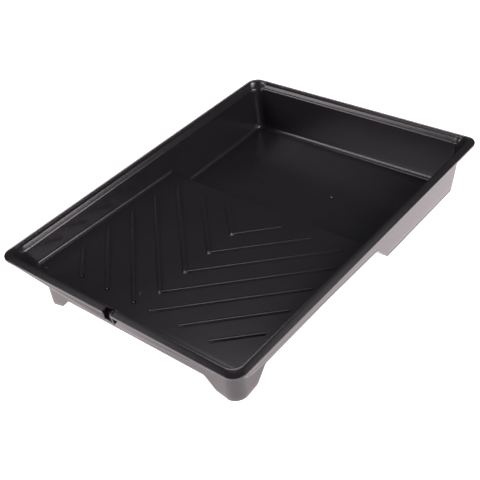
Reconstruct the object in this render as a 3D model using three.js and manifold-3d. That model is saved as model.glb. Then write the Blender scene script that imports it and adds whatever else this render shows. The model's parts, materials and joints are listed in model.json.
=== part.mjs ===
// Paint roller tray for a nine inch roller: one black plastic moulding, modelled as its named regions.
// Millimetres, +Z up. The tray is drawn with its rim level at z = 0, then stood on its feet: the front
// legs are longer than the well is deep, so the rim drops a little towards the deep end at +Y.
import * as THREE from 'three';
import { mergeVertices } from 'three/addons/utils/BufferGeometryUtils.js';
import Module from 'manifold-3d';

const wasm = await Module();
wasm.setup();

// Overall size and shell
const WIDTH = 270;
const LENGTH = 364;
const SHELL = 1.5;
const GAP = 0.3;
const REACH = 400;

// Rim: a flat flange with its outer edge turned down, and a small step inside it
const RIM_RADIUS = 12;
const FLANGE = 6.6;
const LIP_DROP = 3.9;
const RISER_FOOT = { inset: 9.3, z: -4.5 };
const STEP = { inset: 10.2, z: -7 };
const RIM_CORNER = 20;
const WALL_CORNER = 30;

// Walls, as inward lean for each millimetre of depth
const SIDE_LEAN = 0.135;
const FRONT_LEAN = 0.61;
const WALL_RADIUS = 10;
const THROAT_RADIUS = 10.5;

// Ramp and well, as heights below the rim
const RAMP_FRONT = { y: -160, z: -24.6 };
const CREST = { y: 22.9, z: -29.9 };
const WELL_FOOT = { y: 43, z: -51.5 };

// Skirt and legs below the ramp
const SKIRT = { side: 21.9, front: 19.4, radius: 12, wall: 2, z: -44, backEnd: -7 };
const LEG = { z: -58.8 };
// Edges of the openings between the legs, from the skirt's hem out to the feet
const FRONT_ARCH = [[79.5, SKIRT.z], [91, -55.8], [103, -58.5]];
const SIDE_ARCH = [[-126, SKIRT.z], [-138, -56.6], [-150, -58.5]];

// Chevron ribs on the ramp
const RIB = { width: 2.8, height: 1.2, pitch: 31.95, firstApex: -122.6, vCount: 4, armCount: 3 };
const RIB_FIELD = { side: 106.3, front: -146.3, back: 6.9 };

// Notch in the middle of the front rim
const NOTCH = { left: -2.7, right: 5.8 };

const ARC_STEPS = 6;

const plastic = () => new THREE.MeshStandardMaterial({ color: 0x221f23, roughness: 0.42, metalness: 0 });

function toSolid(geometry) {
  geometry.deleteAttribute('normal');
  geometry.deleteAttribute('uv');
  const merged = mergeVertices(geometry, 1e-4);
  return new wasm.Manifold(new wasm.Mesh({
    numProp: 3,
    vertProperties: new Float32Array(merged.attributes.position.array),
    triVerts: new Uint32Array(merged.index.array),
  }));
}

function toMesh(name, solid) {
  const { vertProperties, triVerts } = solid.getMesh();
  const geometry = new THREE.BufferGeometry();
  geometry.setAttribute('position', new THREE.BufferAttribute(new Float32Array(vertProperties), 3));
  geometry.setIndex(new THREE.BufferAttribute(new Uint32Array(triVerts), 1));
  geometry.computeVertexNormals();
  const mesh = new THREE.Mesh(geometry, plastic());
  mesh.name = name;
  return mesh;
}

function roundedRectangle(left, right, front, back, radius) {
  const shape = new THREE.Shape();
  shape.moveTo(left + radius, front);
  shape.lineTo(right - radius, front);
  shape.absarc(right - radius, front + radius, radius, -Math.PI / 2, 0, false);
  shape.lineTo(right, back - radius);
  shape.absarc(right - radius, back - radius, radius, 0, Math.PI / 2, false);
  shape.lineTo(left + radius, back);
  shape.absarc(left + radius, back - radius, radius, Math.PI / 2, Math.PI, false);
  shape.lineTo(left, front + radius);
  shape.absarc(left + radius, front + radius, radius, Math.PI, Math.PI * 1.5, false);
  return shape;
}

// A solid block with the tray's rounded outline, set in from the rim's edge and leaning in as it goes down.
function tub({ side, front = side, back = side, top, bottom, radius, sideLean = 0, frontLean = sideLean }) {
  const outline = roundedRectangle(
    side - WIDTH / 2, WIDTH / 2 - side, front - LENGTH / 2, LENGTH / 2 - back, radius);
  const geometry = new THREE.ExtrudeGeometry(
    outline, { depth: top - bottom, bevelEnabled: false, curveSegments: ARC_STEPS });
  geometry.translate(0, 0, bottom);
  const places = geometry.attributes.position;
  for (let i = 0; i < places.count; i += 1) {
    const depth = top - places.getZ(i);
    const lean = places.getY(i) < 0 ? frontLean : sideLean;
    places.setX(i, places.getX(i) - Math.sign(places.getX(i)) * sideLean * depth);
    places.setY(i, places.getY(i) - Math.sign(places.getY(i)) * lean * depth);
  }
  return toSolid(geometry);
}

function box(low, high) {
  const geometry = new THREE.BoxGeometry(high[0] - low[0], high[1] - low[1], high[2] - low[2]);
  geometry.translate((low[0] + high[0]) / 2, (low[1] + high[1]) / 2, (low[2] + high[2]) / 2);
  return toSolid(geometry);
}

// A bar across the whole width, from its outline in the plane of Y and Z.
function crossBar(points, left = -REACH / 2, right = REACH / 2) {
  const outline = new THREE.Shape(points.map(([y, z]) => new THREE.Vector2(y, z)));
  const geometry = new THREE.ExtrudeGeometry(outline, { depth: right - left, bevelEnabled: false });
  geometry.applyMatrix4(new THREE.Matrix4().set(0, 0, 1, left, 1, 0, 0, 0, 0, 1, 0, 0, 0, 0, 0, 1));
  return toSolid(geometry);
}

// A bar along Y, from its outline in the plane of X and Z.
function longBar(points, front, back) {
  const outline = new THREE.Shape(points.map(([x, z]) => new THREE.Vector2(x, z)));
  const geometry = new THREE.ExtrudeGeometry(outline, { depth: back - front, bevelEnabled: false });
  geometry.applyMatrix4(new THREE.Matrix4().set(1, 0, 0, 0, 0, 0, -1, back, 0, 1, 0, 0, 0, 0, 0, 1));
  return toSolid(geometry);
}

// Ramp surface and the shell thickness below it
const rampSlope = (CREST.z - RAMP_FRONT.z) / (CREST.y - RAMP_FRONT.y);
const rampHeight = (y) => RAMP_FRONT.z + rampSlope * (y - RAMP_FRONT.y);
const dropRun = WELL_FOOT.y - CREST.y;
const dropFall = CREST.z - WELL_FOOT.z;
const dropLength = Math.hypot(dropRun, dropFall);
const dropShift = SHELL * (dropLength - dropRun) / dropFall;
const wellBottom = WELL_FOOT.z - SHELL;

// The ground, which the two legs and the well's back edge stand on
const wellBackInset = STEP.inset - SHELL + SIDE_LEAN * (STEP.z - wellBottom);
const legFace = SKIRT.front - LENGTH / 2;
const wellBackFoot = LENGTH / 2 - wellBackInset;
const groundSlope = (wellBottom - LEG.z) / (wellBackFoot - legFace);
const groundHeight = (y) => LEG.z + groundSlope * (y - legFace);
const tilt = Math.atan(groundSlope);

function insideOfWalls(gap) {
  return tub({
    side: STEP.inset + gap, top: STEP.z, bottom: wellBottom - 1, radius: WALL_RADIUS - gap,
    sideLean: SIDE_LEAN, frontLean: FRONT_LEAN,
  });
}

function underRamp(clearance) {
  const drop = clearance + SHELL;
  return crossBar([
    [-REACH / 2, rampHeight(-REACH / 2) - drop],
    [CREST.y - dropShift, rampHeight(CREST.y) - drop],
    [WELL_FOOT.y - dropShift, wellBottom - clearance],
    [WELL_FOOT.y - dropShift, -REACH / 2],
    [-REACH / 2, -REACH / 2],
  ]);
}

function rimRing() {
  const plate = tub({ side: 0, top: 0, bottom: -LIP_DROP, radius: RIM_RADIUS });
  const hollow = tub({ side: SHELL, top: -SHELL, bottom: -LIP_DROP - 1, radius: RIM_RADIUS - SHELL });
  const riserLean = (STEP.inset - FLANGE) / -STEP.z;
  const riser = tub({
    side: FLANGE - SHELL, top: -0.5, bottom: STEP.z + GAP, radius: THROAT_RADIUS + SHELL, sideLean: riserLean,
  });
  const throat = tub({
    side: FLANGE, top: 0.001, bottom: RISER_FOOT.z, radius: THROAT_RADIUS,
    sideLean: (RISER_FOOT.inset - FLANGE) / -RISER_FOOT.z,
  });
  const step = tub({
    side: RISER_FOOT.inset, top: RISER_FOOT.z + 0.001, bottom: STEP.z, radius: THROAT_RADIUS,
    sideLean: (STEP.inset - RISER_FOOT.inset) / (RISER_FOOT.z - STEP.z),
  });
  return plate.subtract(hollow).add(riser).subtract(throat).subtract(step);
}

function wallRing() {
  const outside = tub({
    side: STEP.inset - SHELL, top: STEP.z, bottom: wellBottom, radius: WALL_RADIUS + SHELL,
    sideLean: SIDE_LEAN, frontLean: FRONT_LEAN,
  });
  return outside.subtract(insideOfWalls(0)).subtract(underRamp(0));
}

// Cuts a ring into its four straight sides and four corners; the front and the sides can be cut again.
function ringRegions(ring, corner, splits) {
  const x = WIDTH / 2 - corner;
  const y = LENGTH / 2 - corner;
  const far = REACH / 2;
  const half = GAP / 2;
  const region = (left, right, front, back) => ring.intersect(
    box([left + half, front + half, -REACH / 2], [right - half, back - half, REACH / 2]));
  const pieces = {
    back: region(-x, x, y, far),
    back_left_corner: region(-far, -x, y, far),
    back_right_corner: region(x, far, y, far),
    front_left_corner: region(-far, -x, -far, -y),
    front_right_corner: region(x, far, -far, -y),
  };
  return Object.assign(pieces, splits({ x, y, far, region }));
}

function rimPieces() {
  const ring = rimRing();
  return ringRegions(ring, RIM_CORNER, ({ x, y, far, region }) => ({
    left: region(-far, -x, -y, y),
    right: region(x, far, -y, y),
    front_left: region(-x, NOTCH.left, -far, -y),
    front_right: region(NOTCH.right, x, -far, -y),
  }));
}

function wallPieces() {
  const ring = wallRing();
  return ringRegions(ring, WALL_CORNER, ({ x, y, far, region }) => ({
    well_left: region(-far, -x, CREST.y, y),
    well_right: region(x, far, CREST.y, y),
    ramp_left: region(-far, -x, -y, CREST.y),
    ramp_right: region(x, far, -y, CREST.y),
    front_left: region(-x, NOTCH.left, -far, -y),
    front_right: region(NOTCH.right, x, -far, -y),
  }));
}

function rampDeck() {
  const end = CREST.y - GAP;
  const plate = crossBar([
    [-REACH / 2, rampHeight(-REACH / 2)], [end, rampHeight(end)],
    [end, rampHeight(end) - SHELL], [-REACH / 2, rampHeight(-REACH / 2) - SHELL],
  ]);
  return plate.intersect(insideOfWalls(GAP));
}

function rampStep() {
  const plate = crossBar([
    [CREST.y, CREST.z], [WELL_FOOT.y - GAP, WELL_FOOT.z + GAP],
    [WELL_FOOT.y - GAP, wellBottom], [WELL_FOOT.y - dropShift, wellBottom], [CREST.y, CREST.z - SHELL * 1.4],
  ]);
  return plate.intersect(insideOfWalls(GAP));
}

function wellFloor() {
  const plate = crossBar([
    [WELL_FOOT.y, WELL_FOOT.z], [REACH / 2, WELL_FOOT.z], [REACH / 2, wellBottom], [WELL_FOOT.y, wellBottom],
  ]);
  return plate.intersect(insideOfWalls(GAP));
}

// A rib drawn flat, then laid on the sloping ramp with a small gap.
function layOnRamp(outline) {
  const geometry = new THREE.ExtrudeGeometry(outline, { depth: RIB.height, bevelEnabled: false, curveSegments: 3 });
  const places = geometry.attributes.position;
  for (let i = 0; i < places.count; i += 1) {
    places.setZ(i, places.getZ(i) + rampHeight(places.getY(i)) + GAP);
  }
  return toSolid(geometry);
}

const ribHalf = RIB.width / Math.SQRT2;

function ribEnd(start) {
  return Math.min(RIB_FIELD.side, RIB_FIELD.back - start);
}

function chevron(apex) {
  const end = ribEnd(apex);
  const outline = new THREE.Shape();
  outline.moveTo(0, apex - ribHalf);
  outline.lineTo(end, apex + end - ribHalf);
  outline.lineTo(end, apex + end + ribHalf);
  outline.lineTo(0, apex + ribHalf);
  outline.lineTo(-end, apex + end + ribHalf);
  outline.lineTo(-end, apex + end - ribHalf);
  return layOnRamp(outline);
}

function ribArm(start, hand) {
  const from = RIB_FIELD.front - start;
  const end = ribEnd(start);
  const corners = [
    [from, start + from - ribHalf], [end, start + end - ribHalf],
    [end, start + end + ribHalf], [from, start + from + ribHalf],
  ].map(([x, y]) => new THREE.Vector2(hand * x, y));
  return layOnRamp(new THREE.Shape(hand > 0 ? corners : corners.reverse()));
}

function skirtRing() {
  const { side, front, radius, wall } = SKIRT;
  const outside = tub({ side, front, back: -50, top: 0, bottom: LEG.z - 5, radius });
  const inside = tub({
    side: side + wall, front: front + wall, back: -60, top: 1, bottom: LEG.z - 6, radius: radius - wall,
  });
  const ground = crossBar([
    [-REACH / 2, groundHeight(-REACH / 2)], [REACH / 2, groundHeight(REACH / 2)],
    [REACH / 2, -REACH / 2], [-REACH / 2, -REACH / 2],
  ]);
  const archFloor = LEG.z - 6;
  const rightEdge = [...FRONT_ARCH, [FRONT_ARCH[2][0], archFloor]];
  const leftEdge = rightEdge.map(([x, z]) => [-x, z]).reverse();
  const frontArch = longBar([...leftEdge, ...rightEdge].reverse(), -REACH / 2, SIDE_ARCH[2][0]);
  const sideArch = crossBar([
    [SIDE_ARCH[2][0], archFloor], [REACH / 2, archFloor], [REACH / 2, SKIRT.z], ...SIDE_ARCH,
  ]);
  const deck = underRamp(GAP);
  const behind = box([-REACH / 2, SKIRT.backEnd, -REACH / 2], [REACH / 2, REACH / 2, REACH / 2]);
  return outside.subtract(inside).intersect(deck).subtract(ground).subtract(frontArch).subtract(sideArch)
    .subtract(behind);
}

function skirtPieces() {
  const ring = skirtRing();
  const far = REACH / 2;
  const cut = (left, right, front, back) => ring.intersect(
    box([left, front, -far], [right, back, far]));
  const legX = FRONT_ARCH[0][0] - 2;
  const legY = SIDE_ARCH[0][0] + 2;
  return {
    front_left_leg: cut(-far, -legX - GAP, -far, legY - GAP),
    front_right_leg: cut(legX + GAP, far, -far, legY - GAP),
    left_skirt: cut(-far, -legX, legY, far),
    right_skirt: cut(legX, far, legY, far),
    front_skirt: cut(-legX, legX, -far, legY),
  };
}

const tray = new THREE.Group();

for (const [place, solid] of Object.entries(rimPieces())) {
  tray.add(toMesh(`rim_${place}`, solid));
}
for (const [place, solid] of Object.entries(wallPieces())) {
  tray.add(toMesh(`wall_${place}`, solid));
}
tray.add(toMesh('ramp_deck', rampDeck()));
tray.add(toMesh('ramp_step', rampStep()));
tray.add(toMesh('well_floor', wellFloor()));

for (let i = 0; i < RIB.vCount; i += 1) {
  tray.add(toMesh(`chevron_rib_${i + 1}`, chevron(RIB.firstApex + i * RIB.pitch)));
}
for (let i = 0; i < RIB.armCount; i += 1) {
  const start = RIB.firstApex - (i + 1) * RIB.pitch;
  tray.add(toMesh(`left_rib_${i + 1}`, ribArm(start, -1)));
  tray.add(toMesh(`right_rib_${i + 1}`, ribArm(start, 1)));
}
for (const [name, solid] of Object.entries(skirtPieces())) {
  tray.add(toMesh(name, solid));
}

// Stand the tray on the ground, centred on its own box.
const standHeight = -legFace * Math.sin(-tilt) - LEG.z * Math.cos(tilt);
tray.rotation.x = -tilt;
tray.position.set(0, LIP_DROP * Math.sin(tilt) / 2, standHeight);

const part = new THREE.Group();
part.add(tray);

export default part;
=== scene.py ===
import json
import math

import bmesh
import bpy
from mathutils import Matrix, Vector

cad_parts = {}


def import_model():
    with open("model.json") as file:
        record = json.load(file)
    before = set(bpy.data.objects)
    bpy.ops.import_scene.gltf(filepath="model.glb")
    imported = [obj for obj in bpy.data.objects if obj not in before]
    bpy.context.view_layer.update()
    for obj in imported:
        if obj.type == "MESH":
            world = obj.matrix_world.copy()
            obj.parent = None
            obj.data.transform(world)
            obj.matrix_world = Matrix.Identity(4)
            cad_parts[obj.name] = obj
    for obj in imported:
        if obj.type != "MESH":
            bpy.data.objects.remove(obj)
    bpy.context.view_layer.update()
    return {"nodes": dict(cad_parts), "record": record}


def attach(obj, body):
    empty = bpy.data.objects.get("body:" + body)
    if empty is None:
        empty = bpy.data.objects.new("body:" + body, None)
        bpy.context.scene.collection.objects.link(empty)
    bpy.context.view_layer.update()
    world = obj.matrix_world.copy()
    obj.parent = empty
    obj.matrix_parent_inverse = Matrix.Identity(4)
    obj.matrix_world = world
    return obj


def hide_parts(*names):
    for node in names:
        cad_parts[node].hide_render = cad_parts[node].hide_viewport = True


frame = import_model()

# The tray is drawn in millimetres with its rim level at z = 0, +Y towards the deep end, and then placed
# by the rim mount: the point on the rim's top plane and that plane's normal.
MOUNTS = {m["name"]: m for m in frame["record"]["mounts"]}
RIM_AXIS = MOUNTS["rim_top"]["axis"]
TILT = math.atan2(RIM_AXIS[1], RIM_AXIS[2])
ORIGIN = Vector((0.0, MOUNTS["rim_top"]["pos_m"][1], MOUNTS["rim_top"]["pos_m"][2]))
PLACE = Matrix.Translation(ORIGIN) @ Matrix.Rotation(-TILT, 4, "X")

HALF_W, HALF_L = 135.0, 181.99
SHELL = 1.45                         # thickness of the moulding
LIP, FLANGE = 1.5, 6.7               # how far in the rim's outer edge and its flat reach
CORNER, THROAT = 12.0, 10.5          # corner radii of the rim's outside and of its opening
WALL_START, WALL_TOP = 11.2, -7.0    # inset and height at which the walls begin
SIDE_LEAN, FRONT_LEAN = 0.115, 0.56  # how far in the walls run for each unit down
FILLET, BACK_FILLET = 3.5, 5.2       # radii between the walls and the floor
RAMP_Y, RAMP_Z = -160.0, -24.6       # a point on the ramp near its front
CREST_Y, CREST_Z = 22.9, -29.9       # where the ramp ends and the drop begins
FOOT_Y, FOOT_Z = 43.0, -51.5         # where the drop meets the well's floor
WELL_Y = 80.0                        # a place on the level floor of the well
RAMP_SLOPE = (CREST_Z - RAMP_Z) / (CREST_Y - RAMP_Y)
NOTCH_LEFT, NOTCH_RIGHT = -2.7, 5.8
NOTCH_ROUND = 5.0                    # radius of the rim's corner on the notch's right


# ---------------------------------------------------------------- helpers

def world(x, y, z):
    """Where a point of the tray, in tray millimetres, is in the scene."""
    return PLACE @ Vector((x / 1000, y / 1000, z / 1000))


def smooth(t):
    t = min(1.0, max(0.0, t))
    return t * t * (3 - 2 * t)


def lerp(a, b, t):
    return a + (b - a) * t


def rounded_line(points, radii, steps=5):
    """The polyline through points with its inner corners rounded to radii."""
    out = [points[0]]
    for before, at, after, radius in zip(points, points[1:], points[2:], radii):
        a, p, b = Vector(before), Vector(at), Vector(after)
        u, v = (a - p).normalized(), (b - p).normalized()
        angle = math.acos(max(-1, min(1, u.dot(v))))
        reach = radius / math.tan(angle / 2)
        start, end = p + u * reach, p + v * reach
        for k in range(steps + 1):
            t = k / steps
            q = start * (1 - t) ** 2 + p * 2 * t * (1 - t) + end * t ** 2
            out.append((q.x, q.y))
    out.append(points[-1])
    return out


# ---------------------------------------------------------------- shell

RAMP_MIDDLE = (0.0, RAMP_Z - RAMP_SLOPE * RAMP_Y)
FLOOR_LINE = rounded_line([RAMP_MIDDLE, (CREST_Y, CREST_Z), (FOOT_Y, FOOT_Z), (WELL_Y, FOOT_Z)], [2.2, 4.0])


def floor_height(y):
    """Height of the inside floor along the tray: ramp, rounded crest, drop, rounded foot, well."""
    if y <= FLOOR_LINE[0][0]:
        return RAMP_Z + RAMP_SLOPE * (y - RAMP_Y)
    for (y0, z0), (y1, z1) in zip(FLOOR_LINE, FLOOR_LINE[1:]):
        if y <= y1:
            return lerp(z0, z1, (y - y0) / (y1 - y0))
    return FOOT_Z


def wall_inset(z, floor, lean, fillet=FILLET):
    """How far in the wall's inner face is at height z, with a fillet down to the floor."""
    n = math.hypot(1, lean)
    middle = floor + fillet
    if z >= middle - fillet * lean / n:
        return WALL_START + lean * (WALL_TOP - z)
    centre = WALL_START + lean * (WALL_TOP - middle) + fillet * n
    return centre - math.sqrt(max(0.0, fillet ** 2 - (middle - z) ** 2))


# The rim from its lip, over the flange, down to the top of the wall: plain at the corners and the front,
# with a stacking ledge elsewhere. Both have the same number of points.
RIM_LIP = [(0.0, -3.9), (0.0, -1.9), (3.4, -0.65), (5.2, -0.1), (FLANGE, 0.0)]
RIM_PLAIN = rounded_line(
    RIM_LIP + [(7.7, -2.2), (8.9, -4.2), (9.9, -5.2), (10.7, -6.0), (WALL_START, WALL_TOP)],
    [0.5, 3.0, 3.0, 0.6, 1.5, 1.0, 1.0, 1.0], 4)
RIM_LEDGE = rounded_line(
    RIM_LIP + [(7.4, -2.8), (9.4, -5.2), (10.5, -5.4), (11.1, -6.4), (WALL_START, WALL_TOP)],
    [0.5, 3.0, 3.0, 0.35, 0.8, 0.5, 0.35, 0.35], 4)
RIM_COUNT, WALL_STEPS, FILLET_STEPS = len(RIM_PLAIN), 9, 6
LEVELS = RIM_COUNT + WALL_STEPS + FILLET_STEPS
WALL_CORNER, DEEP_CORNER, CORNER_RUN = 10.0, 8.0, 30.0


def wall_radius(z):
    """Radius of the wall's inner corners at height z: it shrinks over the first stretch downwards."""
    return lerp(WALL_CORNER, DEEP_CORNER, smooth((WALL_TOP - z) / CORNER_RUN))


def level(index, floor, ledge, fillet=FILLET):
    """(side inset, front inset, corner radius, z) of one ring of the shell at a column."""
    if index < RIM_COUNT:
        inset = lerp(RIM_PLAIN[index][0], RIM_LEDGE[index][0], ledge)
        z = lerp(RIM_PLAIN[index][1], RIM_LEDGE[index][1], ledge)
        radius = lerp(CORNER - min(inset, LIP), THROAT, smooth((inset - LIP) / (FLANGE - LIP)))
        radius = lerp(radius, wall_radius(z), smooth((inset - FLANGE) / (WALL_START - FLANGE)))
        return inset, inset, radius, z
    n = math.hypot(1, SIDE_LEAN)
    fillet_top = floor + fillet - fillet * SIDE_LEAN / n
    step = index - RIM_COUNT + 1
    if step <= WALL_STEPS:
        z = lerp(WALL_TOP, fillet_top, step / WALL_STEPS)
    else:
        start = math.atan2(SIDE_LEAN, 1)
        turn = lerp(start, math.pi / 2, (step - WALL_STEPS) / FILLET_STEPS)
        z = floor + fillet - fillet * math.sin(turn)
    side, front = wall_inset(z, floor, SIDE_LEAN, fillet), wall_inset(z, floor, FRONT_LEAN, fillet)
    return side, front, wall_radius(z) - (side - (WALL_START + SIDE_LEAN * (WALL_TOP - z))), z


ARC = 14           # steps round a corner
RADIAL = 3         # steps across the strip between the floor's grid and the fillet
ROW_STEP = 4.0
COLUMNS = 27       # columns on each half of the front and of the back
RAMP_FRONT = -155  # about where the ramp meets the front fillet


def row_places():
    """Y of every floor row between the two pairs of corner arcs."""
    crest = [y for y, _ in FLOOR_LINE[1:-1]]
    ramp_end = floor_height(RAMP_FRONT)
    front = -(HALF_L - wall_inset(ramp_end, ramp_end, FRONT_LEAN) - level(LEVELS - 1, ramp_end, 0)[2])
    side, _, radius, _ = level(LEVELS - 1, FOOT_Z, 0)
    back = HALF_L - side - radius
    count = round((crest[0] - front) / ROW_STEP)
    rows = [lerp(front, crest[0], i / count) for i in range(count)] + crest
    for a, b in zip(crest, crest[1:]):
        if b - a > ROW_STEP + 1:
            rows += [lerp(a, b, k / 4) for k in range(1, 4)]
    count = round((back - crest[-1]) / ROW_STEP)
    rows += [lerp(crest[-1], back, i / count) for i in range(1, count + 1)]
    return sorted(rows)


ROWS = row_places()


def floor_end(floor):
    """X at which the floor's corner arcs are centred, for a floor at this height."""
    side, _, radius, _ = level(LEVELS - 1, floor, 0)
    return HALF_W - side - radius


# Columns keep their place as far out as these, and beyond them they spread to suit each level.
FIXED_X, FIXED_Y = 60.0, 110.0
FRONT_END, BACK_END = floor_end(floor_height(ROWS[0])), floor_end(FOOT_Z)


def stretched(value, fixed, old_end, new_end):
    """Keeps value inside fixed, and spreads what lies beyond it so that old_end comes to new_end."""
    if abs(value) <= fixed:
        return value
    return math.copysign(fixed + (abs(value) - fixed) * (new_end - fixed) / (old_end - fixed), value)


NOTCH_COLUMNS = [-7.0, NOTCH_LEFT, NOTCH_RIGHT, 6.2, 7.2, 8.7, NOTCH_RIGHT + NOTCH_ROUND]
NOTCH_CLEAR = 1.3  # an evenly spaced column nearer than this to one of the notch's is left out
NOTCH_FADE = 1.5   # the notch's rounding dies out over this much inset at the top of the wall


def floor_xs(end):
    """X of the columns on a floor edge that ends at end, from left to right, closer at the notch."""
    shares = [i / COLUMNS for i in range(-COLUMNS, COLUMNS + 1)]
    clear = [u for u in shares if min(abs(u * FRONT_END - x) for x in NOTCH_COLUMNS) > NOTCH_CLEAR]
    return sorted([u * end for u in clear] + NOTCH_COLUMNS)


LEDGE_END = {"back": 115.0, "left": 158.0, "right": 158.0}
LEDGE_RUNOUT = 3.0


def ledge_share(kind, value):
    """How much of the stacking ledge a column has: it runs out before the corners."""
    if kind not in LEDGE_END:
        return 0.0
    return smooth((LEDGE_END[kind] - abs(value)) / LEDGE_RUNOUT)


def ring():
    """Every column round the tray as (kind, data), counter-clockwise from the front's left end.

    data is x at the front and back, y at the sides, and (x side, y side, share of the turn) at a corner.
    """
    columns = [("front", x) for x in floor_xs(FRONT_END)]
    columns += [("corner", (1, -1, k / ARC)) for k in range(1, ARC)]
    columns += [("right", y) for y in ROWS]
    columns += [("corner", (1, 1, k / ARC)) for k in range(1, ARC)]
    columns += [("back", x) for x in reversed(floor_xs(BACK_END))]
    columns += [("corner", (-1, 1, k / ARC)) for k in range(1, ARC)]
    columns += [("left", y) for y in reversed(ROWS)]
    columns += [("corner", (-1, -1, k / ARC)) for k in range(1, ARC)]
    return columns


ARC_START = {(1, -1): -math.pi / 2, (1, 1): 0.0, (-1, 1): math.pi / 2, (-1, -1): math.pi}


def ring_place(kind, data, values):
    """Where a column's point is, in tray millimetres; values(floor, ledge, fillet) gives its level."""
    if kind == "corner":
        sx, sy, share = data
        floor = floor_height(ROWS[0]) if sy < 0 else FOOT_Z
        fillet = FILLET if sy < 0 else lerp(FILLET, BACK_FILLET, smooth(share if sx > 0 else 1 - share))
        side, front, radius, z = values(floor, 0.0, fillet)
        lengthwise = front if sy < 0 else side
        angle = ARC_START[(sx, sy)] + share * math.pi / 2
        x = sx * (HALF_W - side - radius) + radius * math.cos(angle)
        y = sy * (HALF_L - lengthwise - radius) + radius * math.sin(angle)
        return x, y, z
    if kind in ("front", "back"):
        back = kind == "back"
        floor = FOOT_Z if back else floor_height(ROWS[0])
        side, front, radius, z = values(floor, ledge_share(kind, data), BACK_FILLET if back else FILLET)
        beyond = data - NOTCH_RIGHT
        if not back and -0.01 <= beyond < NOTCH_ROUND and front <= WALL_START:
            cut = NOTCH_ROUND - math.sqrt(NOTCH_ROUND ** 2 - (NOTCH_ROUND - beyond) ** 2)
            front -= cut * smooth((front - LIP) / (FLANGE - LIP)) * smooth((WALL_START - front) / NOTCH_FADE)
        x = stretched(data, FIXED_X, BACK_END if back else FRONT_END, HALF_W - side - radius)
        return x, (HALF_L - side if back else front - HALF_L), z
    floor = floor_height(data)
    side, front, radius, z = values(floor, ledge_share(kind, data), FILLET)
    lengthwise = front if data < 0 else side
    end = HALF_L - lengthwise - radius
    y = stretched(data, FIXED_Y, -ROWS[0] if data < 0 else ROWS[-1], end)
    x = HALF_W - side
    return (x if kind == "right" else -x), y, z


def ring_point(kind, data, index):
    """Where a column meets a level of the shell."""
    return ring_place(kind, data, lambda floor, ledge, fillet: level(index, floor, ledge, fillet))


def in_notch(a, b):
    """Whether the stretch between two columns lies in the notch."""
    return (a[0] == b[0] == "front" and NOTCH_LEFT - 0.1 <= a[1] <= NOTCH_RIGHT + 0.1
            and NOTCH_LEFT - 0.1 <= b[1] <= NOTCH_RIGHT + 0.1)


def shell_mesh():
    """The tray's upper skin: rim, walls and fillets as rings, and the floor as a grid inside them."""
    columns = ring()
    count = len(columns)
    verts, faces = [], []
    for index in range(LEVELS):
        verts += [ring_point(kind, data, index) for kind, data in columns]
    for index in range(LEVELS - 1):
        upper, lower = index * count, (index + 1) * count
        for c in range(count):
            d = (c + 1) % count
            if in_notch(columns[c], columns[d]) and index < RIM_COUNT - 1:
                continue
            faces.append((upper + c, upper + d, lower + d, lower + c))
    last = (LEVELS - 1) * count
    xs_front, xs_back = floor_xs(FRONT_END), floor_xs(BACK_END)
    wide, deep = len(xs_front), len(ROWS)
    front = [last + i for i in range(wide)]
    right_start = wide + ARC - 1
    right = [last + right_start + j for j in range(deep)]
    back_start = right_start + deep + ARC - 1
    back = [last + back_start + i for i in range(wide)][::-1]
    left_start = back_start + wide + ARC - 1
    left = [last + left_start + j for j in range(deep)][::-1]

    def add(x, y):
        verts.append((x, y, floor_height(y)))
        return len(verts) - 1

    # grid[j][i]: its corners are the centres of the corner arcs, and strips join its edges to the rings
    grid = []
    for j, y in enumerate(ROWS):
        edge = verts[right[j]][0]
        radius = level(LEVELS - 1, floor_height(y), 0)[2]
        share = smooth((y - ROWS[0]) / (ROWS[-1] - ROWS[0]))
        span = lerp(FRONT_END, BACK_END, share)
        xs = [lerp(a, b, share) for a, b in zip(xs_front, xs_back)]
        grid.append([add(stretched(x, FIXED_X, span, edge - radius), y) for x in xs])
    for j in range(deep - 1):
        for i in range(wide - 1):
            faces.append((grid[j][i], grid[j][i + 1], grid[j + 1][i + 1], grid[j + 1][i]))

    def strip(inner, outer, flip):
        """Faces between a run of grid points and a run of ring points; returns the two end lines."""
        lines = []
        for a, b in zip(inner, outer):
            pa, pb = Vector(verts[a]), Vector(verts[b])
            line = [a]
            for k in range(1, RADIAL):
                p = pa.lerp(pb, k / RADIAL)
                line.append(add(p.x, p.y))
            line.append(b)
            lines.append(line)
        for one, two in zip(lines, lines[1:]):
            for k in range(RADIAL):
                face = (one[k], one[k + 1], two[k + 1], two[k])
                faces.append(face if flip else face[::-1])
        return lines[0], lines[-1]

    front_ends = strip(grid[0], front, True)
    back_ends = strip(grid[-1], back, False)
    right_ends = strip([row[-1] for row in grid], right, True)
    left_ends = strip([row[0] for row in grid], left, False)

    def corner(first, second, arc):
        """A fan of quads between two lines from one arc centre."""
        lines = [first]
        centre = Vector(verts[first[0]])
        for v in arc:
            line = [first[0]]
            for k in range(1, RADIAL):
                p = centre.lerp(Vector(verts[v]), k / RADIAL)
                line.append(add(p.x, p.y))
            lines.append(line + [v])
        lines.append(second)
        for one, two in zip(lines, lines[1:]):
            faces.append((one[0], one[1], two[1]))
            for k in range(1, RADIAL):
                faces.append((one[k], one[k + 1], two[k + 1], two[k]))

    corner(front_ends[1], right_ends[0], [last + wide + k for k in range(ARC - 1)])
    corner(right_ends[1], back_ends[1], [last + right_start + deep + k for k in range(ARC - 1)])
    corner(back_ends[0], left_ends[1], [last + back_start + wide + k for k in range(ARC - 1)])
    corner(left_ends[0], front_ends[0], [last + left_start + deep + k for k in range(ARC - 1)])
    return verts, faces


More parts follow.
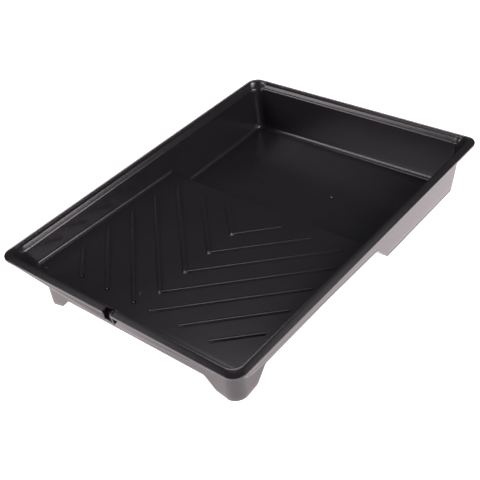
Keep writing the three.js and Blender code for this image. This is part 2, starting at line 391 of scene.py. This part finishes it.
def make_object(name, verts, faces, material):
    """A smooth-shaded object from points in tray millimetres."""
    mesh = bpy.data.meshes.new(name)
    mesh.from_pydata([world(*v) for v in verts], [], faces)
    mesh.validate()
    bm = bmesh.new()
    bm.from_mesh(mesh)
    bmesh.ops.remove_doubles(bm, verts=bm.verts, dist=1e-7)
    loose = [v for v in bm.verts if not v.link_faces]
    bmesh.ops.delete(bm, geom=loose, context="VERTS")
    bm.to_mesh(mesh)
    bm.free()
    for polygon in mesh.polygons:
        polygon.use_smooth = True
    obj = bpy.data.objects.new(name, mesh)
    bpy.context.scene.collection.objects.link(obj)
    mesh.materials.append(material)
    return obj


def modifier(obj, kind, **settings):
    m = obj.modifiers.new(kind.title(), kind)
    for key, value in settings.items():
        setattr(m, key, value)


def soften_edges(obj, width):
    """Rounds the edges sharper than 50 degrees."""
    modifier(obj, "BEVEL", width=width, segments=2, limit_method="ANGLE", angle_limit=math.radians(50),
             use_clamp_overlap=True, harden_normals=False)


# ---------------------------------------------------------------- skirt and legs

SKIRT_SIDE, SKIRT_FRONT = 21.9, 19.4    # how far in from the rim the skirt stands
SKIRT_RADIUS, SKIRT_WALL = 12.0, 2.0
SKIRT_Z, SKIRT_BACK = -44.0, -7.0       # its straight hem, and its back end
SKIRT_BITE = 0.7                        # how far its top runs into the ramp's underside
FRONT_BITE = 0.9                        # how much further its front's outer face runs in
SKIRT_ROWS = 7                          # faces from its top to its hem
TURN_STEPS = 16                         # steps round its corner
NEAR_STEP, FAR_STEP = 1.5, 5.0          # steps along it near the legs, and away from them
LEG_Z = -58.55
FRONT_HEM = rounded_line(
    [(40.0, SKIRT_Z), (79.5, SKIRT_Z), (90.5, -55.4), (103.0, LEG_Z)], [1.5, 3.0], 6)
SIDE_HEM = rounded_line(
    [(-60.0, SKIRT_Z), (-126.0, SKIRT_Z), (-138.0, -56.8), (-150.0, LEG_Z)], [3.0, 4.0], 6)


def ground(y):
    """Height of the floor that the tray stands on, in tray millimetres."""
    return -ORIGIN.z * 1000 / math.cos(TILT) + math.tan(TILT) * y


def skirt_path():
    """(x, y, normal) along the skirt's outer face, from the back of the right side round to the left."""
    x, y = HALF_W - SKIRT_SIDE, -(HALF_L - SKIRT_FRONT)
    cx, cy = x - SKIRT_RADIUS, y + SKIRT_RADIUS
    ys = [SKIRT_BACK, SKIRT_BACK - 0.4] + [-12 - FAR_STEP * i for i in range(21)]
    ys += [-115 - NEAR_STEP * i for i in range(24)]
    half = [(x, p, (1, 0)) for p in ys if p > cy]
    for k in range(TURN_STEPS + 1):
        a = -math.pi / 2 * k / TURN_STEPS
        normal = (math.cos(a), math.sin(a))
        half.append((cx + SKIRT_RADIUS * normal[0], cy + SKIRT_RADIUS * normal[1], normal))
    xs = [cx - NEAR_STEP * i for i in range(1, 20)]
    xs += [xs[-1] - FAR_STEP * i for i in range(1, 15)]
    half += [(p, y, (0, -1)) for p in xs if p > 1]
    middle = [(0, y, (0, -1))]
    return half + middle + [(-a, b, (-n[0], n[1])) for a, b, n in reversed(half)]


def along(line, place):
    """Height of a polyline at a place, held level beyond its ends."""
    ordered = sorted(line)
    if place <= ordered[0][0]:
        return ordered[0][1]
    for (p0, z0), (p1, z1) in zip(ordered, ordered[1:]):
        if place <= p1:
            return lerp(z0, z1, (place - p0) / max(1e-9, p1 - p0))
    return ordered[-1][1]


def skirt_bottom(x, y):
    """The skirt's lower edge at a place on its path: a straight hem that drops to the legs."""
    if y < -(HALF_L - SKIRT_FRONT) + 0.01:
        low = along(FRONT_HEM, abs(x))
    elif abs(x) > HALF_W - SKIRT_SIDE - 0.01:
        low = along(SIDE_HEM, y)
    else:
        low = -100.0
    return max(low, ground(y))


def slab(near, far):
    """A closed slab between two outlines with the same number of points, as (verts, faces)."""
    count = len(near)
    faces = [tuple(range(count))[::-1], tuple(range(count, 2 * count))]
    faces += [(i, (i + 1) % count, (i + 1) % count + count, i + count) for i in range(count)]
    return near + far, faces


# The apron hangs below the rim's front, in outlines in X and Z. Its ends taper up to the lip.
APRON_FACE, APRON_THICK = 0.15 - HALF_L, 1.2
APRON_LEFT = [
    (-120.0, -2.6), (-120.0, -3.9), (-34.0, -10.9), (-2.0, -11.2),
    (-1.9, -8.9), (-2.1, -5.0), (-2.6, -3.4), (-3.2, -2.6)]
APRON_STRIP = [(-2.1, -8.7), (-2.1, -11.2), (8.9, -11.3), (7.6, -9.0)]
APRON_STRUT = [(4.9, -1.5), (7.3, -9.6), (8.7, -9.9), (6.6, -2.0)]
APRON_RIGHT = [
    (15.0, -3.2), (9.0, -9.7), (9.0, -11.3), (34.0, -11.3), (112.0, -3.9), (112.0, -2.8), (15.5, -2.8)]
# The shelf behind the opening runs along X, with its outline in Y and Z. It is a black sheet that stands in
# for the shade under the tray seen through the notch: painted shade.
SHADE_SHELF_LEFT, SHADE_SHELF_RIGHT = -26.0, 15.0
SHADE_SHELF = [(APRON_FACE + 0.6, -8.9), (-170.9, -7.6), (-170.9, -9.2), (APRON_FACE + 0.6, -10.3)]


def notch_parts():
    """The apron on both sides of the notch, the strip and strut across it, and behind them a black shelf
    that stands in for the shade there (painted shade).
    """
    back = APRON_FACE + APRON_THICK
    for outline in (APRON_LEFT, APRON_STRIP, APRON_STRUT, APRON_RIGHT):
        yield slab([(x, APRON_FACE, z) for x, z in outline], [(x, back, z) for x, z in outline])
    yield slab([(SHADE_SHELF_LEFT, y, z) for y, z in SHADE_SHELF], [(SHADE_SHELF_RIGHT, y, z) for y, z in SHADE_SHELF])


HEM_REACH, HEM_BITE = 4.0, 0.05  # how far the hem runs up the wall and under the floor, and into both


def hem_mesh():
    """The sharp outer edge where the walls' outside meets the floor's underside, open at the notch."""
    columns = ring()
    notch = [i for i, (kind, x) in enumerate(columns) if kind == "front" and NOTCH_LEFT < x < NOTCH_RIGHT]
    columns = columns[notch[-1] + 1:] + columns[:notch[0]]

    def values(up, inward):
        def place(floor, ledge, fillet):
            z = floor - SHELL + up
            side = WALL_START - SHELL * math.hypot(1, SIDE_LEAN) + SIDE_LEAN * (WALL_TOP - z)
            front = WALL_START - SHELL * math.hypot(1, FRONT_LEAN) + FRONT_LEAN * (WALL_TOP - z)
            return side + inward, front + inward, wall_radius(z) + SHELL - inward, z
        return place

    corners = (HEM_REACH, HEM_BITE), (0, 0), (HEM_BITE, HEM_REACH)
    verts, faces = [], []
    for kind, data in columns:
        verts += [ring_place(kind, data, values(*at)) for at in corners]
    for c in range(len(columns) - 1):
        for k in range(3):
            a, b = c * 3, c * 3 + 3
            m = (k + 1) % 3
            faces.append((a + k, a + m, b + m, b + k))
    end = len(verts) - 3
    faces += [(2, 1, 0), (end, end + 1, end + 2)]
    return verts, faces


def skirt_mesh():
    """The skirt with its legs: a band with an outer and an inner face, closed all round."""
    verts, faces = [], []
    path = skirt_path()
    rows = SKIRT_ROWS
    for x, y, n in path:
        ix, iy = x - n[0] * SKIRT_WALL, y - n[1] * SKIRT_WALL
        top = floor_height(y) - SHELL + SKIRT_BITE
        at_front = y < -(HALF_L - SKIRT_FRONT) + SKIRT_RADIUS / 2
        outer_top = top + FRONT_BITE if at_front else top
        low = skirt_bottom(x, y)
        verts += [(x, y, lerp(outer_top, low, k / rows)) for k in range(rows + 1)]
        verts += [(ix, iy, lerp(top, low, k / rows)) for k in range(rows + 1)]
    per = 2 * (rows + 1)
    for c in range(len(path) - 1):
        a, b = c * per, (c + 1) * per
        for k in range(rows):
            faces.append((a + k, a + k + 1, b + k + 1, b + k))
            faces.append((a + rows + 1 + k, b + rows + 1 + k, b + rows + 2 + k, a + rows + 2 + k))
        faces.append((a + rows, a + per - 1, b + per - 1, b + rows))
        faces.append((a, b, b + rows + 1, a + rows + 1))
    for a, flip in ((0, False), ((len(path) - 1) * per, True)):
        for k in range(rows):
            face = (a + k, a + rows + 1 + k, a + rows + 2 + k, a + k + 1)
            faces.append(face[::-1] if flip else face)
    return verts, faces


# ---------------------------------------------------------------- ribs

RIB_PITCH, RIB_FIRST = 31.95, -122.6                # the chevrons' tips along Y
RIB_SIDE, RIB_FRONT, RIB_BACK = 106.3, -146.3, 6.9  # the edges of the ribbed field
RIB_END = 1.5                                       # what a rib's rounded end adds to its length
END_STEPS = 8
RIB_SECTION = [
    (-2.3, -0.05), (-2.0, 0.02), (-1.78, 0.2), (-1.62, 0.8),
    (-1.42, 1.3), (-1.05, 1.52), (-0.5, 1.6), (0.0, 1.61)]
RIB_SECTION += [(-d, h) for d, h in reversed(RIB_SECTION[:-1])]


def rib_mesh(path):
    """A low rounded ridge along path, with domed ends, open underneath with its edge in the deck."""
    stations = []
    count = len(path)
    for i, (x, y) in enumerate(path):
        ahead = Vector(path[min(i + 1, count - 1)]) - Vector((x, y))
        behind = Vector((x, y)) - Vector(path[max(i - 1, 0)])
        way = (ahead.normalized() + behind.normalized()).normalized()
        other = ahead if ahead.length > 0 else behind
        scale = 1 / max(0.5, abs(way.dot(other.normalized())))
        stations.append((x, y, way, scale))
    verts, faces = [], []

    def section(x, y, across, points):
        """Adds points of the section, laid across a station; returns their numbers."""
        first = len(verts)
        for d, h in points:
            px, py = x + across.x * d, y + across.y * d
            verts.append((px, py, floor_height(py) + h))
        return list(range(first, len(verts)))

    rings = [section(x, y, Vector((way.y, -way.x)) * scale, RIB_SECTION) for x, y, way, scale in stations]
    for a, b in zip(rings, rings[1:]):
        for k in range(len(RIB_SECTION) - 1):
            faces.append((a[k], a[k + 1], b[k + 1], b[k]))
    half = len(RIB_SECTION) // 2
    for at, sign in ((0, -1), (-1, 1)):
        x, y, way, _ = stations[at]
        across = Vector((way.y, -way.x))
        crown = rings[at][half]
        previous = rings[at][:half]
        for s in range(1, END_STEPS + 1):
            turn = math.pi * s / END_STEPS
            side = across * math.cos(turn) + way * sign * math.sin(turn)
            row = rings[at][:half:-1] if s == END_STEPS else section(x, y, side, RIB_SECTION[:half])
            end_faces = [(previous[k], row[k], row[k + 1], previous[k + 1]) for k in range(half - 1)]
            end_faces.append((previous[-1], row[-1], crown))
            faces += end_faces if sign > 0 else [face[::-1] for face in end_faces]
            previous = row
    return verts, faces


def line_points(a, b, step=6.0):
    """Points from a to b, about step apart."""
    a, b = Vector(a), Vector(b)
    count = max(2, round((b - a).length / step))
    return [tuple(a.lerp(b, k / count)) for k in range(count + 1)]


def rib_paths():
    """(name, path) of four chevrons, and of three straight ribs on each side in front of them."""
    for i in range(4):
        apex = RIB_FIRST + i * RIB_PITCH
        reach = min(RIB_SIDE, RIB_BACK - apex) - RIB_END
        left = line_points((-reach, apex + reach), (0, apex))
        yield f"chevron_rib_{i + 1}", left + line_points((0, apex), (reach, apex + reach))[1:]
    for i in range(3):
        start = RIB_FIRST - (i + 1) * RIB_PITCH
        low = RIB_FRONT - start + RIB_END
        high = min(RIB_SIDE, RIB_BACK - start) - RIB_END
        for name, hand in (("left", -1), ("right", 1)):
            yield f"{name}_rib_{i + 1}", line_points((hand * low, start + low), (hand * high, start + high))


# ---------------------------------------------------------------- mould marks and painted highlights

HIGHLIGHT_ON_RIB, MARK_ON_FLOOR = 1.5, 0.1  # heights of the marks' middles over the floor
GATE_STUB = (26.8, 91.6, FOOT_Z + 0.15, 1.25, 0.7, 0.5)
# On the ribs and on the floor a mark is x, y and size, and on the front lip it is x, z and size.
# Painted highlights: pale domes at the ribs' front ends and the chevrons' tips stand in for the glints of
# light there.
RIB_HIGHLIGHTS = [
    (-73.0, -145.6, 0.75), (-41.0, -145.6, 0.75), (-9.1, -145.6, 0.75),
    (-0.2, -123.4, 0.6), (0.1, -91.6, 0.7), (0.0, -59.6, 0.65), (0.0, -27.8, 0.6),
    (9.3, -145.4, 0.4), (41.2, -145.4, 0.4)]
FLOOR_MARKS = [
    (-111.9, -154.6, 0.7), (-110.2, -153.8, 0.5), (-13.4, -133.8, 0.45), (-14.6, -132.2, 0.4),
    (-12.2, -135.4, 0.35), (-87.3, 118.0, 0.4), (-60.0, 60.0, 0.35)]
LIP_MARK_Y = 0.45 - HALF_L
LIP_MARKS = [
    (94.2, -2.6, 0.8), (95.8, -3.1, 0.5), (97.0, -3.6, 0.7), (105.6, -3.9, 0.5), (107.0, -4.2, 1.1),
    (108.6, -4.3, 0.5), (111.5, -4.6, 0.7)]


def nugget(x, y, z, rx, ry, rz, seed):
    """A small uneven lump, as (verts, faces)."""
    around, verts = 7, [(x, y, z - rz)]
    for lift in (-0.6, 0.0, 0.6):
        wide = math.sqrt(1 - lift ** 2)
        for k in range(around):
            a = 2 * math.pi * k / around + lift
            wobble = 1 - 0.22 * (0.5 + 0.5 * math.sin(seed * 3.7 + k * 2.3 + lift * 5))
            verts.append((x + rx * wide * wobble * math.cos(a), y + ry * wide * wobble * math.sin(a),
                          z + rz * lift))
    verts.append((x, y, z + rz))
    top = len(verts) - 1
    faces = []
    for k in range(around):
        n = (k + 1) % around
        faces.append((0, 1 + n, 1 + k))
        for row in range(2):
            a, b = 1 + row * around, 1 + (row + 1) * around
            faces.append((a + k, a + n, b + n, b + k))
        faces.append((1 + 2 * around + k, 1 + 2 * around + n, top))
    return verts, faces


def mould_marks_and_painted_highlights():
    """Gate stub on the well floor, painted highlights on the rib ends and chevron tips, grit on the floor
    and flash along the front lip.
    """
    marks_and_highlights = [GATE_STUB]
    for x, y, size in RIB_HIGHLIGHTS:
        marks_and_highlights.append((x, y, floor_height(y) + HIGHLIGHT_ON_RIB, size, size * 0.7, 0.3))
    for x, y, size in FLOOR_MARKS:
        marks_and_highlights.append((x, y, floor_height(y) + MARK_ON_FLOOR, size, size * 0.7, 0.3))
    for x, z, size in LIP_MARKS:
        marks_and_highlights.append((x, LIP_MARK_Y, z, size, 0.4, size * 0.55))
    verts, faces = [], []
    for i, mark in enumerate(marks_and_highlights):
        v, f = nugget(*mark, i)
        faces += [tuple(a + len(verts) for a in face) for face in f]
        verts += v
    return verts, faces


# ---------------------------------------------------------------- materials

DARK_BLACK, PALE_BLACK = (0.0138, 0.0130, 0.0150, 1), (0.0182, 0.0170, 0.0196, 1)
GLOSSIEST, DULLEST = 0.21, 0.29
FLOOR_GLOW = 1.55


def black_plastic():
    """Semi-gloss black moulded plastic: faint mottling, uneven gloss, fine grain and slight waves."""
    material = bpy.data.materials.new("black_plastic")
    material.use_nodes = True
    nodes, links = material.node_tree.nodes, material.node_tree.links
    nodes.clear()
    out = nodes.new("ShaderNodeOutputMaterial")
    shader = nodes.new("ShaderNodeBsdfPrincipled")
    links.new(shader.outputs["BSDF"], out.inputs["Surface"])
    place = nodes.new("ShaderNodeTexCoord")

    def noise(scale, detail, rough=0.5, distortion=0.0):
        n = nodes.new("ShaderNodeTexNoise")
        n.inputs["Scale"].default_value = scale
        n.inputs["Detail"].default_value = detail
        n.inputs["Roughness"].default_value = rough
        n.inputs["Distortion"].default_value = distortion
        links.new(place.outputs["Object"], n.inputs["Vector"])
        return n

    shader.inputs["Specular IOR Level"].default_value = 0.62
    mottle = noise(14, 5, 0.6)
    colour = nodes.new("ShaderNodeValToRGB")
    dark, pale = colour.color_ramp.elements
    dark.position, dark.color = 0.3, DARK_BLACK
    pale.position, pale.color = 0.75, PALE_BLACK
    links.new(mottle.outputs["Fac"], colour.inputs["Fac"])
    links.new(colour.outputs["Color"], shader.inputs["Base Color"])

    cloud = noise(9, 6, 0.65, 0.6)
    gloss = nodes.new("ShaderNodeMapRange")
    gloss.inputs["To Min"].default_value = GLOSSIEST
    gloss.inputs["To Max"].default_value = DULLEST
    links.new(cloud.outputs["Fac"], gloss.inputs["Value"])
    links.new(gloss.outputs["Result"], shader.inputs["Roughness"])

    fine = noise(2600, 2, 0.5)
    waves = noise(60, 3, 0.5)
    bump = nodes.new("ShaderNodeBump")
    bump.inputs["Strength"].default_value = 0.08
    bump.inputs["Distance"].default_value = 0.00012
    links.new(fine.outputs["Fac"], bump.inputs["Height"])
    swell = nodes.new("ShaderNodeBump")
    swell.inputs["Strength"].default_value = 0.06
    swell.inputs["Distance"].default_value = 0.0006
    links.new(waves.outputs["Fac"], swell.inputs["Height"])
    links.new(bump.outputs["Normal"], swell.inputs["Normal"])
    links.new(swell.outputs["Normal"], shader.inputs["Normal"])
    return material


def worn_plastic_and_painted_highlights():
    """Paler plastic of the flash and gate stub, also used for the painted highlights on the rib ends and
    chevron tips.
    """
    material = bpy.data.materials.new("worn_plastic_and_painted_highlights")
    material.use_nodes = True
    nodes, links = material.node_tree.nodes, material.node_tree.links
    shader = nodes["Principled BSDF"]
    place, noise = nodes.new("ShaderNodeTexCoord"), nodes.new("ShaderNodeTexNoise")
    noise.inputs["Scale"].default_value = 900
    noise.inputs["Detail"].default_value = 4
    links.new(place.outputs["Object"], noise.inputs["Vector"])
    # The pale end of this tint is also the colour of the painted highlights on the ribs.
    tint = nodes.new("ShaderNodeValToRGB")
    tint.color_ramp.elements[0].position, tint.color_ramp.elements[1].position = 0.35, 0.65
    tint.color_ramp.elements[0].color = (0.16, 0.15, 0.16, 1)
    tint.color_ramp.elements[1].color = (0.55, 0.51, 0.52, 1)
    links.new(noise.outputs["Fac"], tint.inputs["Fac"])
    links.new(tint.outputs["Color"], shader.inputs["Base Color"])
    shader.inputs["Roughness"].default_value = 0.45
    return material


def pale_floor():
    """Matt pale floor that also glows, so that it shows white."""
    material = bpy.data.materials.new("pale_floor")
    material.use_nodes = True
    shader = material.node_tree.nodes["Principled BSDF"]
    shader.inputs["Base Color"].default_value = (0.9, 0.9, 0.9, 1)
    shader.inputs["Roughness"].default_value = 0.9
    shader.inputs["Emission Color"].default_value = (1, 0.90, 0.90, 1)
    shader.inputs["Emission Strength"].default_value = FLOOR_GLOW
    return material


# ---------------------------------------------------------------- build

black = black_plastic()

shell = make_object("tray_shell", *shell_mesh(), black)
modifier(shell, "SOLIDIFY", thickness=SHELL / 1000, offset=-1.0,
         use_even_offset=True, use_quality_normals=True)
soften_edges(shell, 0.00035)

skirt_verts, skirt_faces = skirt_mesh()
# The skirt's mesh also holds the hem, the apron and the black shelf of painted shade behind the notch.
for verts, faces in [hem_mesh(), *notch_parts()]:
    skirt_faces += [tuple(v + len(skirt_verts) for v in face) for face in faces]
    skirt_verts += verts
skirt = make_object("ramp_skirt_and_legs", skirt_verts, skirt_faces, black)
soften_edges(skirt, 0.0004)

rim_nodes = [n for n in frame["nodes"] if n.startswith("rim_")]
wall_nodes = [n for n in frame["nodes"] if n.startswith("wall_")]
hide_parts("ramp_deck", "ramp_step", "well_floor", *rim_nodes, *wall_nodes)
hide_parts("front_left_leg", "front_right_leg", "left_skirt", "right_skirt", "front_skirt")
pieces = [shell, skirt]

# The pale lumps include painted highlights on the ribs' ends and the chevrons' tips.
pieces.append(make_object("mould_marks_and_painted_highlights", *mould_marks_and_painted_highlights(), worn_plastic_and_painted_highlights()))

for name, path in rib_paths():
    rib = make_object("ridge_" + name, *rib_mesh(path), black)
    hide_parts(name)
    pieces.append(rib)

for piece in pieces:
    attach(piece, "root")

# ---------------------------------------------------------------- stage, camera and light

FLOOR_SIZE, FLOOR_DROP = 30, 0.0002  # metres; the drop keeps the floor clear of the feet
bpy.ops.mesh.primitive_plane_add(size=FLOOR_SIZE, location=(0, 0, -FLOOR_DROP))
ground_plane = bpy.context.object
ground_plane.name = "floor"
ground_plane.data.materials.append(pale_floor())

# The camera's place and angles are in the tray's own axes, so they pass through PLACE as well.
CAMERA_PLACE = Vector((0.42976, -0.46534, 0.44256))
AZ, EL, ROLL = (math.radians(a) for a in (44.541, 38.366, 8.49))
forward = Vector((-math.sin(AZ) * math.cos(EL), math.cos(AZ) * math.cos(EL), -math.sin(EL)))
right = Vector((math.cos(AZ), math.sin(AZ), 0))
down = forward.cross(right)
rolled_right = right * math.cos(ROLL) + down * math.sin(ROLL)
rolled_down = down * math.cos(ROLL) - right * math.sin(ROLL)
axes = Matrix((rolled_right, -rolled_down, -forward)).transposed().to_4x4()
axes.translation = CAMERA_PLACE

camera_data = bpy.data.cameras.new("camera")
camera_data.sensor_width = 36
camera_data.lens = 63.94
camera_data.shift_x = 0.0149
camera_data.shift_y = 0.0156
camera_data.clip_start = 0.01
camera = bpy.data.objects.new("camera", camera_data)
camera.matrix_world = PLACE @ axes
bpy.context.scene.collection.objects.link(camera)
bpy.context.scene.camera = camera

AIM = Vector((0, 0, 0.03))  # the place that every light faces
TINT, TINT_GAIN = (1.0, 0.92, 0.98), 1.05  # the gain makes up for what the tint takes away


def area_light(name, place, size, radiance):
    """A square light that faces the tray."""
    light = bpy.data.lights.new(name, "AREA")
    light.shape = "RECTANGLE"
    light.size = size
    light.size_y = size
    light.color = TINT
    light.energy = radiance * TINT_GAIN * math.pi * light.size * light.size_y
    obj = bpy.data.objects.new(name, light)
    obj.location = place
    obj.rotation_euler = (AIM - Vector(place)).to_track_quat("-Z", "Y").to_euler()
    bpy.context.scene.collection.objects.link(obj)


area_light("left_softbox", (-0.9, -0.9, 0.9), 0.6, 5.2)
area_light("right_softbox", (1.2, -0.1, 0.8), 0.6, 7.4)
area_light("side_softbox", (0.75, 0.3, 0.55), 0.35, 8.2)
area_light("back_softbox", (0.3, 0.5, 0.85), 0.35, 0.9)
area_light("front_softbox", (-0.5, -1.3, 0.45), 0.5, 5.3)
area_light("top_light", (-0.37, 0.33, 1.0), 0.3, 4.6)
area_light("left_window", (-0.7, -0.3, 1.0), 0.3, 0.9)


def studio_world():
    """Dim surroundings, which the camera itself sees as white beyond the floor's edge."""
    studio = bpy.data.worlds.new("studio")
    studio.use_nodes = True
    nodes, links = studio.node_tree.nodes, studio.node_tree.links
    nodes.clear()
    rays = nodes.new("ShaderNodeLightPath")
    dim, bright = nodes.new("ShaderNodeBackground"), nodes.new("ShaderNodeBackground")
    dim.inputs["Color"].default_value = (1, 1, 1, 1)
    dim.inputs["Strength"].default_value = 0.05
    bright.inputs["Color"].default_value = (1, 1, 1, 1)
    bright.inputs["Strength"].default_value = 1.0
    mix, out = nodes.new("ShaderNodeMixShader"), nodes.new("ShaderNodeOutputWorld")
    links.new(rays.outputs["Is Camera Ray"], mix.inputs["Fac"])
    links.new(dim.outputs["Background"], mix.inputs[1])
    links.new(bright.outputs["Background"], mix.inputs[2])
    links.new(mix.outputs["Shader"], out.inputs["Surface"])
    return studio


bpy.context.scene.world = studio_world()

scene = bpy.context.scene
scene.view_settings.view_transform = "Standard"
scene.view_settings.look = "None"
